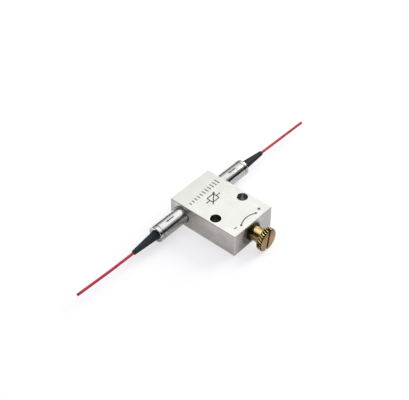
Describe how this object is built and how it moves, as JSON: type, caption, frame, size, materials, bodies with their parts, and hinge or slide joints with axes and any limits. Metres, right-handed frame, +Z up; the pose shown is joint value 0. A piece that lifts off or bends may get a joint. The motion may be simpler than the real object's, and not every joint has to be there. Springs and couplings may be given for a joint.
{
  "type": "in-line fibre attenuator",
  "caption": "Manual in-line fibre attenuator: metal block, coaxial collimator barrels with booted pigtails, and a knurled thumb screw that moves a needle across the beam.",
  "frame": {"origin": "on the bottom face of the block, halfway between the two mounting holes", "axes": "+X towards the thumb screw, +Y along the fibre towards the input pigtail, +Z up out of the top face"},
  "size_m": [0.0325, 0.107, 0.0082],
  "materials": {
    "block_metal": "fine brushed, bare metal",
    "barrel_steel": "polished stainless tube",
    "screw_brass": "bright turned neck, duller knurled head",
    "needle_steel": "ground",
    "spring_steel": "bright wire",
    "seal_rubber": "smooth black",
    "boot_rubber": "satin black with a teal tint",
    "jacket_red": "satin red tube",
    "fibre_glass": "clear coating",
    "optic_glass": "polished"
  },
  "bodies": {
    "block": {"housing": "block_metal", "return_spring": "spring_steel", "wiper_seal": "seal_rubber", "input_barrel": "barrel_steel", "input_end_cap": "barrel_steel", "input_boot": "boot_rubber", "input_jacket": "jacket_red", "input_fibre": "fibre_glass", "input_ferrule": "optic_glass", "input_lens": "optic_glass", "input_glass_sleeve": "optic_glass", "output_barrel": "barrel_steel", "output_end_cap": "barrel_steel", "output_boot": "boot_rubber", "output_jacket": "jacket_red", "output_fibre": "fibre_glass", "output_ferrule": "optic_glass", "output_lens": "optic_glass", "output_glass_sleeve": "optic_glass"},
    "thrust": {"thrust_washer": "spring_steel"},
    "screw": {"thumb_screw": "screw_brass", "blocking_needle": "needle_steel"}
  },
  "joints": [
    {"name": "screw_travel", "type": "slide", "parent": "block", "child": "thrust", "axis": [1, 0, 0], "range_m": [-0.0025, 0.0015], "deforming": ["return_spring"]},
    {"name": "screw_turn", "type": "hinge", "parent": "thrust", "child": "screw", "pos_m": [0, 0, 0.0041], "axis": [1, 0, 0], "range_deg": [-1800, 1080]}
  ],
  "couplings": [
    {"joint": "screw_turn", "follows": "screw_travel", "rad_per_m": 12566}
  ]
}
